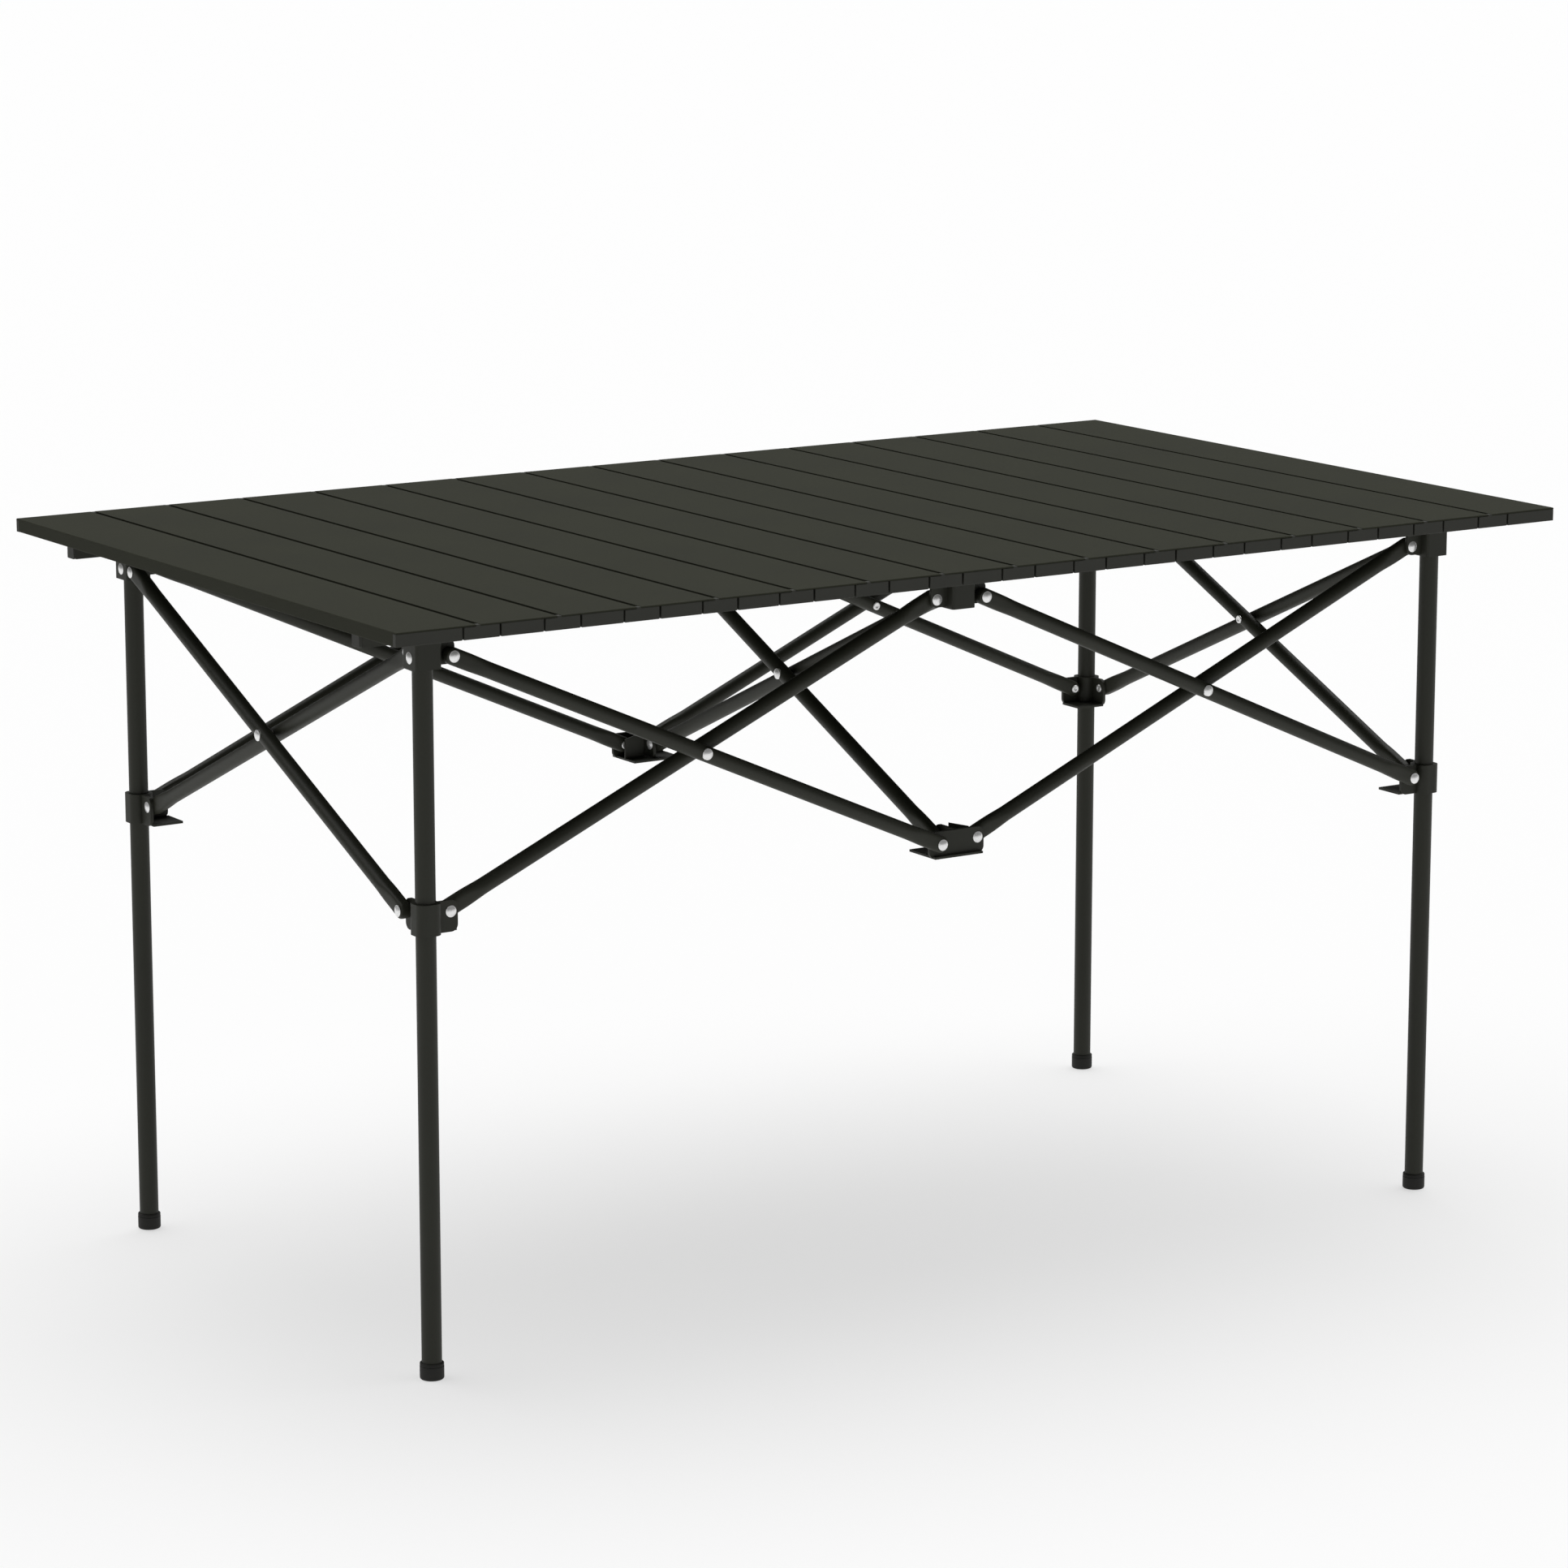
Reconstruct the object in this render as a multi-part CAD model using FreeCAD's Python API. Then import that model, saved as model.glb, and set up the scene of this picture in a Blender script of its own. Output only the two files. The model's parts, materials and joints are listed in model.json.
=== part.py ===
"""Folding picnic table: a slatted roll-up top on a frame of four legs and seven scissor pairs.

Millimetres, +Z up, +X along the table's length. The origin is on the floor under the table's centre.
Legs and brackets are named by end and side: the left end is at -X and the front side is at -Y.
"""
import FreeCAD
import Part
import math
import os

Vector = FreeCAD.Vector
X = Vector(1, 0, 0)
Y = Vector(0, 1, 0)
Z = Vector(0, 0, 1)

# ---- overall sizes ----
TABLE_LENGTH = 1400.0
TABLE_WIDTH = 820.0
TABLE_HEIGHT = 760.0

# ---- roll-up top ----
SLAT_COUNT = 16
PITCH = TABLE_LENGTH / SLAT_COUNT
TOP_THICKNESS = 14.0
PLATE = 1.6             # thickness of a slat's top skin
GROOVE = 5.0            # open gap between two top skins
GROOVE_DEPTH = 4.0      # channel below it, in the top of the tongue
TONGUE = 15.0           # how far a slat's body reaches under its left neighbour's skin
BODY_GAP = 2.0          # gap between two slat bodies
SKIN_GAP = 0.3          # clearance between a tongue and the skin over it
SLAT_WALL = 0.9
SLAT_WEBS = 3
CAP_DEPTH = 6.0         # end caps, measured along the slat
CAP_SPLIT = 24.0        # joint between the two end caps, measured from the groove
CAP_SEAM = 2.0
CAP_LUG_DROP = 0.3      # top of the lug that closes a groove's end, below the top skin
EDGE_RADIUS = 1.2

# ---- rails under the top ----
RAIL_HEIGHT = 16.0
RAIL_WIDTH = 15.0
RAIL_WALL = 1.5
RAIL_END_X = 687.0      # outer end of the rail's plug, short of the end of the top
RAIL_PLUG = 3.0         # flange of the plug in the rail's end
RAIL_PLUG_DEPTH = 14.0
RAIL_SPLIT = 0.4        # half of the gap between the two halves
HINGE_OUT = 5.0         # rail hinge pin, outboard of the rail's side
HINGE_REACH = 10.0
HINGE_RADIUS = 4.5
HINGE_PIN_RADIUS = 2.0
RAIL_RIVET_X = 650.0    # rivets across the rails, outboard of the corner brackets
TOP_RIVET_X = 650.0     # rivets between the right-hand rails and the last slat

# ---- frame ----
BAY = 616.0             # between neighbouring upright axes, the same both ways so that the frame folds
LEG_X = BAY
LEG_Y = BAY / 2
LEG_RADIUS = 10.0
LEG_WALL = 1.5
LEG_TOP_GAP = 5.0       # solid roof of the corner bracket over the leg
FOOT_RADIUS = 12.0
FOOT_HEIGHT = 17.0
FOOT_FLOOR = 3.0
FOOT_CHAMFER = 1.5
PIVOT_OUT = 26.0        # bar pivots, measured from a leg's or centre bracket's axis
PIVOT_DROP = 16.0       # upper pivots, below the bracket's top
SCISSOR_DROP = 250.0    # lower pivots, below the upper ones

RAIL_TOP = TABLE_HEIGHT - TOP_THICKNESS
BRACKET_TOP = RAIL_TOP - RAIL_HEIGHT
UPPER_Z = BRACKET_TOP - PIVOT_DROP
LOWER_Z = UPPER_Z - SCISSOR_DROP

# ---- bars ----
BAR_RADIUS = 8.0
BAR_WALL = 1.0
BAR_FLAT = 6.2          # half thickness of a pressed bar end
BAR_FLAT_LENGTH = 20.0
BAR_SOLID_LENGTH = 22.0

# ---- brackets ----
EAR = 3.6               # ear plate thickness
EAR_OUT = 1.5           # ear plate's middle, outboard of the leg's axis
EAR_REACH = 33.5
EAR_ROUND = 7.0
EAR_BELOW_TOP = 1.0     # an upper ear's top, below the top of its block
EAR_ABOVE_BOTTOM = 2.0  # its bottom, above the bottom of its block
BLOCK = 28.0
BLOCK_HEIGHT = 27.0
BLOCK_ROUND = 3.0
CENTRE_BLOCK_HEIGHT = 26.0
POCKET_WALL = 7.0       # walls and roof about the pocket in an upper centre block
SLEEVE = 26.0
SLEEVE_ROUND = 9.0
SLEEVE_ABOVE = 11.0     # sleeve's top, above its pivots
SLEEVE_BELOW = 20.0
SLEEVE_CLEARANCE = 0.4
FIT = 0.05              # clearance of pieces that are pressed together
TOLERANCE = 1e-6        # for telling whether two places are the same
BASE = 2.5              # thickness of the base plate under the lower pivots
BASE_REACH = 34.0
CENTRE_BELOW = 16.5     # bottom of the lower centre bracket, below its pivots
CENTRE_BASE_X = 29.5
CENTRE_BASE_OUT = 8.0
CENTRE_BASE_IN = 39.0
BACK_PLATE = 2.0        # plate behind the inner bar's end on the lower centre bracket
BACK_PLATE_GAP = 2.5    # from that bar's rivet to the plate
BACK_PLATE_START = 5.0
BACK_PLATE_END = 29.5
BACK_PLATE_PEAK = 13.7  # top of the plate at its start, above the pivots
BACK_PLATE_DIP = 7.3    # and at its end

# ---- rivets ----
RIVET_RADIUS = 3.0
RIVET_CLEARANCE = 0.08
HEAD_RADIUS = 5.75
HEAD_HEIGHT = 2.0
TAIL_RADIUS = 4.5
TAIL_HEIGHT = 1.5
SMALL_RIVET = 2.6
SIDE_GAP = 0.3          # gap between a bar's end and what it turns against

# Distances along a pivot's axis, outboard of the ear plate's middle.
BAR_AXIS = EAR / 2 + SIDE_GAP + BAR_FLAT
BAR_FACE = BAR_AXIS + BAR_FLAT
BAR_SKIN = BAR_AXIS + BAR_RADIUS


# ---- shape helpers ----

def box(x0, y0, z0, x1, y1, z1):
    """A box between two corners given in any order."""
    low = Vector(min(x0, x1), min(y0, y1), min(z0, z1))
    return Part.makeBox(abs(x1 - x0), abs(y1 - y0), abs(z1 - z0), low)


def fused(shapes):
    """One clean solid from overlapping shapes."""
    result = shapes[0]
    for shape in shapes[1:]:
        result = result.fuse(shape)
    return result.removeSplitter()


def rounded_block(x, y, size, z0, z1, radius):
    """An upright square block with rounded upright edges, centred on x, y."""
    half = size / 2
    core = half - radius
    pieces = [box(x - half, y - core, z0, x + half, y + core, z1)]
    pieces.append(box(x - core, y - half, z0, x + core, y + half, z1))
    for sx in (-1, 1):
        for sy in (-1, 1):
            corner = Vector(x + sx * core, y + sy * core, z0)
            pieces.append(Part.makeCylinder(radius, z1 - z0, corner, Z))
    return fused(pieces)


def placed(shape, origin, along, normal):
    """Move a shape drawn along its own X, with its own Z as the normal, into the table's frame."""
    across = normal.cross(along)
    matrix = FreeCAD.Matrix(along.x, across.x, normal.x, origin.x,
                            along.y, across.y, normal.y, origin.y,
                            along.z, across.z, normal.z, origin.z,
                            0, 0, 0, 1)
    result = shape.copy()
    result.Placement = FreeCAD.Placement(matrix)
    return result


def dome(radius, height):
    """A rivet's domed head with its flat side on z = 0."""
    ball = (radius * radius + height * height) / (2 * height)
    rise = ball - height
    angle = math.degrees(math.asin(rise / ball))
    shape = Part.makeSphere(ball, Vector(0, 0, -rise), Z, angle, 90, 360)
    return shape


def rivet(point, outward, low, high, low_form=None, high_form=None, radius=RIVET_RADIUS):
    """A rivet along outward, from low to high measured from point, with a tail or a head at its ends."""
    scale = radius / RIVET_RADIUS
    pieces = [Part.makeCylinder(radius, high - low, Vector(0, 0, low), Z)]
    if high_form == "head":
        head = dome(HEAD_RADIUS * scale, HEAD_HEIGHT * scale)
        pieces.append(head.translated(Vector(0, 0, high)))
    if low_form == "tail":
        tail = TAIL_HEIGHT * scale
        pieces.append(Part.makeCylinder(TAIL_RADIUS * scale, tail, Vector(0, 0, low - tail), Z))
    along = X if abs(outward.x) < TOLERANCE else Y
    return placed(fused(pieces), point, along, outward)


def hole(point, outward, low, high, radius):
    """A cutting cylinder along outward, from low to high measured from point."""
    return Part.makeCylinder(radius, high - low, point + outward * low, outward)


def write(name, solids):
    """Write one node: a solid, or a group of separate solids that move together."""
    shape = solids[0] if len(solids) == 1 else Part.makeCompound(solids)
    if not shape.isValid():
        raise ValueError(name + " is not a valid shape")
    shape.exportStep("parts/" + name + ".step")
    volume = sum(solid.Volume for solid in solids) / 1000
    print("%-28s %2d solids %8.2f cm3" % (name, len(solids), volume))


# ---- pivots ----

def ear_point(centre_x, centre_y, pivot_direction, outward, z):
    """The point of a pivot's axis in the middle of its ear plate."""
    return Vector(centre_x, centre_y, z) + pivot_direction * PIVOT_OUT + outward * EAR_OUT


def pivot_rivet(point, outward, side):
    """The rivet at one pivot. side is 1 for a bar outboard of the ear and -1 for one inboard of it."""
    half = EAR / 2
    if side > 0:
        return rivet(point, outward, -half, BAR_FACE + SIDE_GAP, "tail", "head")
    return rivet(point, outward, -BAR_FACE - SIDE_GAP, half, "tail", "head")


def ear(centre_x, centre_y, direction, outward, z_pivot, z0, z1):
    """An ear plate from a bracket's axis past its pivot, with rounded outer corners and its hole."""
    inner = EAR_REACH - EAR_ROUND
    height = z1 - z0
    pieces = [box(0, 0, -EAR / 2, inner, height, EAR / 2)]
    pieces.append(box(inner, EAR_ROUND, -EAR / 2, EAR_REACH, height - EAR_ROUND, EAR / 2))
    for z in (EAR_ROUND, height - EAR_ROUND):
        pieces.append(Part.makeCylinder(EAR_ROUND, EAR, Vector(inner, z, -EAR / 2), Z))
    plate = fused(pieces)
    # The plate is drawn with its length along X and its height along Y. Its own Z is outward or
    # inward, whichever makes its Y point up; its thickness is symmetric, so both are the same.
    normal = direction.cross(Z)
    origin = Vector(centre_x, centre_y, z0) + outward * EAR_OUT
    shape = placed(plate, origin, direction, normal)
    point = ear_point(centre_x, centre_y, direction, outward, z_pivot)
    return shape.cut(hole(point, outward, -EAR, EAR, RIVET_RADIUS + FIT))


# ---- the frame's layout ----

CORNERS = {
    "front_left": (-1, -1),
    "front_right": (1, -1),
    "back_left": (-1, 1),
    "back_right": (1, 1),
}
CENTRES = {"front": -1, "back": 1}


def station(name):
    """The axis of a corner leg or of a centre bracket."""
    if name in CORNERS:
        sx, sy = CORNERS[name]
        return Vector(sx * LEG_X, sy * LEG_Y, 0)
    return Vector(0, CENTRES[name] * LEG_Y, 0)


def long_bars():
    """The eight bars along the table: name, top station, bottom station, side of the ears, outward."""
    bars = []
    for row, sign in CENTRES.items():
        # Seen from outside, the half on the left hand has its outer bar from the corner's top.
        left_hand = "left" if sign < 0 else "right"
        right_hand = "right" if sign < 0 else "left"
        outward = Y * sign
        left = row + "_" + left_hand
        right = row + "_" + right_hand
        bars.append(("bar_" + left + "_outer", left, row, 1, outward))
        bars.append(("bar_" + left + "_inner", row, left, -1, outward))
        bars.append(("bar_" + right + "_outer", row, right, 1, outward))
        bars.append(("bar_" + right + "_inner", right, row, -1, outward))
    return bars


def cross_bars():
    """The six bars across the table, in the same form."""
    return [
        ("bar_left_end_outer", "back_left", "front_left", 1, -X),
        ("bar_left_end_inner", "front_left", "back_left", -1, -X),
        ("bar_right_end_outer", "front_right", "back_right", 1, X),
        ("bar_right_end_inner", "back_right", "front_right", -1, X),
        ("bar_middle_outer", "back", "front", 1, -X),
        ("bar_middle_inner", "front", "back", -1, -X),
    ]


def ear_offset(name, outward):
    """The centre brackets' cross ears sit on the axis; all other ears sit outboard of it."""
    if name in CENTRES and abs(outward.x) > 0.5:
        return outward * -EAR_OUT
    return Vector(0, 0, 0)


def toward(name, other):
    """The direction, along X or Y, from one station to another."""
    step = station(other) - station(name)
    if abs(step.x) > abs(step.y):
        return X * math.copysign(1, step.x)
    return Y * math.copysign(1, step.y)


def pivot_point(name, other, outward, z):
    """The middle of the ear at a station for the bar that runs to another station."""
    centre = station(name) + ear_offset(name, outward)
    return ear_point(centre.x, centre.y, toward(name, other), outward, z)


def bar_pivots(top, bottom, outward):
    """Both ends of a bar, in the middles of their ears."""
    high = pivot_point(top, bottom, outward, UPPER_Z)
    low = pivot_point(bottom, top, outward, LOWER_Z)
    return high, low


# ---- pieces of the frame ----

def bar_body(length):
    """A bar drawn along X, with pressed and rounded ends, pivots at 0 and at its length."""
    reach = length + 2 * BAR_RADIUS
    tube = Part.makeCylinder(BAR_RADIUS, reach, Vector(-BAR_RADIUS, 0, 0), X)
    outline = [box(0, -BAR_RADIUS, -BAR_RADIUS, length, BAR_RADIUS, BAR_RADIUS)]
    for x in (0, length):
        outline.append(Part.makeCylinder(BAR_RADIUS, 2 * BAR_RADIUS, Vector(x, 0, -BAR_RADIUS), Z))
    shape = tube.common(fused(outline))
    for x0, x1 in ((-BAR_RADIUS, BAR_FLAT_LENGTH), (length - BAR_FLAT_LENGTH, length + BAR_RADIUS)):
        for side in (-1, 1):
            shape = shape.cut(box(x0, -BAR_RADIUS, side * BAR_FLAT, x1, BAR_RADIUS, side * BAR_RADIUS))
    bore = length - 2 * BAR_SOLID_LENGTH
    inner = BAR_RADIUS - BAR_WALL
    shape = shape.cut(Part.makeCylinder(inner, bore, Vector(BAR_SOLID_LENGTH, 0, 0), X))
    for x in (0, length / 2, length):
        start = Vector(x, 0, -2 * BAR_RADIUS)
        shape = shape.cut(Part.makeCylinder(RIVET_RADIUS + RIVET_CLEARANCE, 4 * BAR_RADIUS, start, Z))
    return shape.removeSplitter()


def crossing_rivet(middle, along, outward):
    """The rivet through a pair of bars where they cross, with its head bedded on the outer bar."""
    # The head's rim reaches this far down the round side of the bar.
    rim = BAR_RADIUS - math.sqrt(BAR_RADIUS ** 2 - HEAD_RADIUS ** 2)
    crown = BAR_SKIN + 2 * FIT
    drum = Part.makeCylinder(HEAD_RADIUS, rim + 2 * FIT, Vector(0, 0, crown - rim - 2 * FIT), Z)
    head = drum.fuse(dome(HEAD_RADIUS, HEAD_HEIGHT).translated(Vector(0, 0, crown))).removeSplitter()
    side = Y if abs(outward.x) > 0.5 else X
    head = placed(head, middle, side, outward)
    bed_start = middle + outward * BAR_AXIS - along * 2 * HEAD_RADIUS
    bed = Part.makeCylinder(BAR_RADIUS + FIT, 4 * HEAD_RADIUS, bed_start, along)
    shank = rivet(middle, outward, -BAR_SKIN - SIDE_GAP, crown + HEAD_HEIGHT / 2, "tail", None)
    return fused([head.cut(bed), shank])


def make_bar(name, top, bottom, side, outward):
    """One bar, with its crossing rivet if it is an outer bar."""
    high, low = bar_pivots(top, bottom, outward)
    along = low - high
    length = along.Length
    along.normalize()
    origin = high + outward * (side * BAR_AXIS)
    solids = [placed(bar_body(length), origin, along, outward)]
    if side > 0:
        solids.append(crossing_rivet((high + low) * 0.5, along, outward))
    write(name, solids)


def bracket_rivets(name, z):
    """All pivot rivets of the bracket at a station, upper or lower."""
    solids = []
    for _, top, bottom, side, outward in long_bars() + cross_bars():
        here, other = (top, bottom) if z == UPPER_Z else (bottom, top)
        if here == name:
            point = pivot_point(here, other, outward, z)
            solids.append(pivot_rivet(point, outward, side))
    return solids


def leg_hole_rivet(name):
    """The rivet that holds a corner bracket on its leg, through the end face of its block."""
    sx = CORNERS[name][0]
    centre = station(name) + Z * UPPER_Z
    inside = LEG_RADIUS - LEG_WALL
    pin = rivet(centre, X * sx, inside - TAIL_HEIGHT, BLOCK / 2, None, "head")
    cutter = hole(centre, X * sx, 0, BLOCK, RIVET_RADIUS + FIT)
    return pin, cutter


def make_leg(name):
    """A leg tube, open below in its foot and above in its bracket."""
    centre = station(name)
    top = BRACKET_TOP - LEG_TOP_GAP - FIT
    height = top - FOOT_FLOOR
    base = centre + Z * FOOT_FLOOR
    tube = Part.makeCylinder(LEG_RADIUS, height, base, Z)
    tube = tube.cut(Part.makeCylinder(LEG_RADIUS - LEG_WALL, height, base, Z))
    write("leg_" + name, [tube.cut(leg_hole_rivet(name)[1])])


def make_foot(name):
    """The cup-shaped plastic foot over a leg's lower end."""
    centre = station(name)
    cup = Part.makeCone(FOOT_RADIUS - FOOT_CHAMFER, FOOT_RADIUS, FOOT_CHAMFER, centre, Z)
    straight = FOOT_HEIGHT - 2 * FOOT_CHAMFER
    cup = cup.fuse(Part.makeCylinder(FOOT_RADIUS, straight, centre + Z * FOOT_CHAMFER, Z))
    upper = centre + Z * (FOOT_HEIGHT - FOOT_CHAMFER)
    cup = cup.fuse(Part.makeCone(FOOT_RADIUS, FOOT_RADIUS - FOOT_CHAMFER / 2, FOOT_CHAMFER, upper, Z))
    cup = cup.removeSplitter()
    socket = Part.makeCylinder(LEG_RADIUS + FIT, FOOT_HEIGHT, centre + Z * FOOT_FLOOR, Z)
    write("foot_" + name, [cup.cut(socket)])


def make_corner_bracket(name):
    """The fixed bracket on a leg's top, with one ear along and one ear across the table."""
    sx, sy = CORNERS[name]
    centre = station(name)
    z0 = BRACKET_TOP - BLOCK_HEIGHT
    pieces = [rounded_block(centre.x, centre.y, BLOCK, z0, BRACKET_TOP, BLOCK_ROUND)]
    ear_low = z0 + EAR_ABOVE_BOTTOM
    ear_high = BRACKET_TOP - EAR_BELOW_TOP
    pieces.append(ear(centre.x, centre.y, X * -sx, Y * sy, UPPER_Z, ear_low, ear_high))
    pieces.append(ear(centre.x, centre.y, Y * -sy, X * sx, UPPER_Z, ear_low, ear_high))
    body = fused(pieces)
    depth = BLOCK_HEIGHT - LEG_TOP_GAP
    body = body.cut(Part.makeCylinder(LEG_RADIUS + FIT, depth, centre + Z * z0, Z))
    pin, cutter = leg_hole_rivet(name)
    write("corner_bracket_" + name, [body.cut(cutter), pin] + bracket_rivets(name, UPPER_Z))


def make_slider(name):
    """The sleeve that slides on a leg, with two ears and a base plate in the angle between them."""
    sx, sy = CORNERS[name]
    centre = station(name)
    z0 = LOWER_Z - SLEEVE_BELOW
    z1 = LOWER_Z + SLEEVE_ABOVE
    pieces = [rounded_block(centre.x, centre.y, SLEEVE, z0, z1, SLEEVE_ROUND)]
    pieces.append(ear(centre.x, centre.y, X * -sx, Y * sy, LOWER_Z, z0, z1))
    pieces.append(ear(centre.x, centre.y, Y * -sy, X * sx, LOWER_Z, z0, z1))
    inner_x = centre.x - sx * BASE_REACH
    inner_y = centre.y - sy * BASE_REACH
    pieces.append(box(centre.x, centre.y, z0, inner_x, inner_y, z0 + BASE))
    body = fused(pieces)
    bore = LEG_RADIUS + SLEEVE_CLEARANCE
    body = body.cut(Part.makeCylinder(bore, z1 - z0, centre + Z * z0, Z))
    write("slider_" + name, [body] + bracket_rivets(name, LOWER_Z))


def centre_cross_ear(centre, inward, z_pivot, z0, z1):
    """The centre brackets' ear across the table, on the bracket's own axis."""
    shift = ear_offset("front", -X)
    return ear(centre.x + shift.x, centre.y, inward, -X, z_pivot, z0, z1)


def make_centre_top(row):
    """The block under the middle of a rail, with three ears."""
    sign = CENTRES[row]
    centre = station(row)
    z0 = BRACKET_TOP - CENTRE_BLOCK_HEIGHT
    ear_low = z0 + EAR_ABOVE_BOTTOM
    ear_high = BRACKET_TOP - EAR_BELOW_TOP
    pieces = [rounded_block(centre.x, centre.y, BLOCK, z0, BRACKET_TOP, BLOCK_ROUND)]
    for direction in (-X, X):
        pieces.append(ear(centre.x, centre.y, direction, Y * sign, UPPER_Z, ear_low, ear_high))
    pieces.append(centre_cross_ear(centre, Y * -sign, UPPER_Z, ear_low, ear_high))
    body = fused(pieces)
    pocket = BLOCK / 2 - POCKET_WALL
    depth = CENTRE_BLOCK_HEIGHT - POCKET_WALL
    body = body.cut(Part.makeCylinder(pocket, depth, centre + Z * z0, Z))
    write("centre_top_" + row, [body] + bracket_rivets(row, UPPER_Z))


def back_plate(centre, sign):
    """The lower centre bracket's plate behind the inner long bar, with a top that slopes outwards."""
    inboard = EAR_OUT - BAR_FACE - SIDE_GAP - TAIL_HEIGHT - BACK_PLATE_GAP
    outline = [
        (BACK_PLATE_START, -CENTRE_BELOW),
        (BACK_PLATE_END, -CENTRE_BELOW),
        (BACK_PLATE_END, BACK_PLATE_DIP),
        (BACK_PLATE_START, BACK_PLATE_PEAK),
    ]
    # The inner bar leaves towards +X on the front side and towards -X on the back side.
    start_y = centre.y + sign * inboard
    points = [Vector(-sign * x, start_y, LOWER_Z + z) for x, z in outline]
    face = Part.Face(Part.makePolygon(points + points[:1]))
    return face.extrude(Y * (-sign * BACK_PLATE))


def make_centre_bottom(row):
    """The lower centre bracket: three ears and a back plate on a base plate."""
    sign = CENTRES[row]
    centre = station(row)
    z0 = LOWER_Z - CENTRE_BELOW
    z1 = LOWER_Z + SLEEVE_ABOVE
    pieces = []
    for direction in (-X, X):
        pieces.append(ear(centre.x, centre.y, direction, Y * sign, LOWER_Z, z0, z1))
    pieces.append(centre_cross_ear(centre, Y * -sign, LOWER_Z, z0, z1))
    outer = centre.y + sign * CENTRE_BASE_OUT
    inner = centre.y - sign * CENTRE_BASE_IN
    pieces.append(box(-CENTRE_BASE_X, outer, z0, CENTRE_BASE_X, inner, z0 + BASE))
    pieces.append(back_plate(centre, sign))
    write("centre_bottom_" + row, [fused(pieces)] + bracket_rivets(row, LOWER_Z))


# ---- rails ----

def rail_tube(x0, x1, y):
    """A square rail tube between two places along X."""
    outer = box(x0, y - RAIL_WIDTH / 2, BRACKET_TOP, x1, y + RAIL_WIDTH / 2, RAIL_TOP)
    half = RAIL_WIDTH / 2 - RAIL_WALL
    inner = box(x0, y - half, BRACKET_TOP + RAIL_WALL, x1, y + half, RAIL_TOP - RAIL_WALL)
    return outer.cut(inner)


def hinge_leaf(sign, side, z0, z1, pin_hole):
    """A rail half's hinge leaf, welded outboard of the rail and rounded about the pin."""
    face = sign * (LEG_Y + RAIL_WIDTH / 2)
    pin_y = face + sign * HINGE_OUT
    arm = box(side * RAIL_SPLIT, face, z0, side * HINGE_REACH, pin_y + sign * HINGE_RADIUS, z1)
    knuckle = Part.makeCylinder(HINGE_RADIUS, z1 - z0, Vector(0, pin_y, z0), Z)
    neck = box(0, pin_y, z0, side * HINGE_REACH, pin_y + sign * HINGE_RADIUS, z1)
    leaf = fused([arm, knuckle, neck])
    return leaf.cut(Part.makeCylinder(pin_hole, z1 - z0, Vector(0, pin_y, z0), Z))


def top_rivet(row):
    """The rivet that joins a rail's right half to the floor of the last slat."""
    point = Vector(TOP_RIVET_X, CENTRES[row] * LEG_Y, RAIL_TOP)
    return rivet(point, Z, -RAIL_WALL, SLAT_WALL, "tail", "head", SMALL_RIVET)


def top_rivet_hole(row):
    """The hole for that rivet, through the rail's roof and the slat's floor only."""
    point = Vector(TOP_RIVET_X, CENTRES[row] * LEG_Y, RAIL_TOP)
    return hole(point, Z, -2 * RAIL_WALL, 2 * SLAT_WALL, SMALL_RIVET + FIT)


def make_rail(row, hand):
    """Half of a rail. The right half carries the hinge pin and the rivet into the last slat."""
    sign = CENTRES[row]
    side = -1 if hand == "left" else 1
    y = sign * LEG_Y
    end = side * (RAIL_END_X - RAIL_PLUG)
    tube = rail_tube(side * RAIL_SPLIT, end, y)
    middle = (BRACKET_TOP + RAIL_TOP) / 2
    rivet_point = Vector(side * RAIL_RIVET_X, y, middle)
    half = RAIL_WIDTH / 2
    tube = tube.cut(hole(rivet_point, Y * sign, -half, half, SMALL_RIVET + FIT))
    if hand == "right":
        leaf = hinge_leaf(sign, side, BRACKET_TOP, middle - SIDE_GAP, HINGE_PIN_RADIUS + FIT)
        tube = tube.cut(top_rivet_hole(row))
    else:
        leaf = hinge_leaf(sign, side, middle + SIDE_GAP, RAIL_TOP, HINGE_PIN_RADIUS + RIVET_CLEARANCE)
    solids = [fused([tube, leaf])]
    solids.append(rivet(rivet_point, Y * sign, -half, half, "tail", "head", SMALL_RIVET))
    if hand == "right":
        solids.append(top_rivet(row))
        pin_y = y + sign * (RAIL_WIDTH / 2 + HINGE_OUT)
        start = Vector(0, pin_y, BRACKET_TOP + FIT)
        solids.append(Part.makeCylinder(HINGE_PIN_RADIUS, RAIL_HEIGHT - 2 * FIT, start, Z))
    write("rail_%s_%s" % (row, hand), solids)


def make_rail_plug(row, hand):
    """The plastic plug in a rail's outer end."""
    sign = CENTRES[row]
    side = -1 if hand == "left" else 1
    y = sign * LEG_Y
    face = side * RAIL_END_X
    shoulder = side * (RAIL_END_X - RAIL_PLUG)
    inner_end = shoulder - side * RAIL_PLUG_DEPTH
    half = RAIL_WIDTH / 2
    flange = box(shoulder, y - half, BRACKET_TOP, face, y + half, RAIL_TOP)
    gap = RAIL_WALL + FIT
    tongue = box(inner_end, y - half + gap, BRACKET_TOP + gap, shoulder, y + half - gap, RAIL_TOP - gap)
    write("rail_plug_%s_%s" % (row, hand), [fused([flange, tongue])])


# ---- roll-up top ----

def slat_start(number):
    """Where a slat's pitch starts, along the table."""
    return -TABLE_LENGTH / 2 + PITCH * (number - 1)


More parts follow.
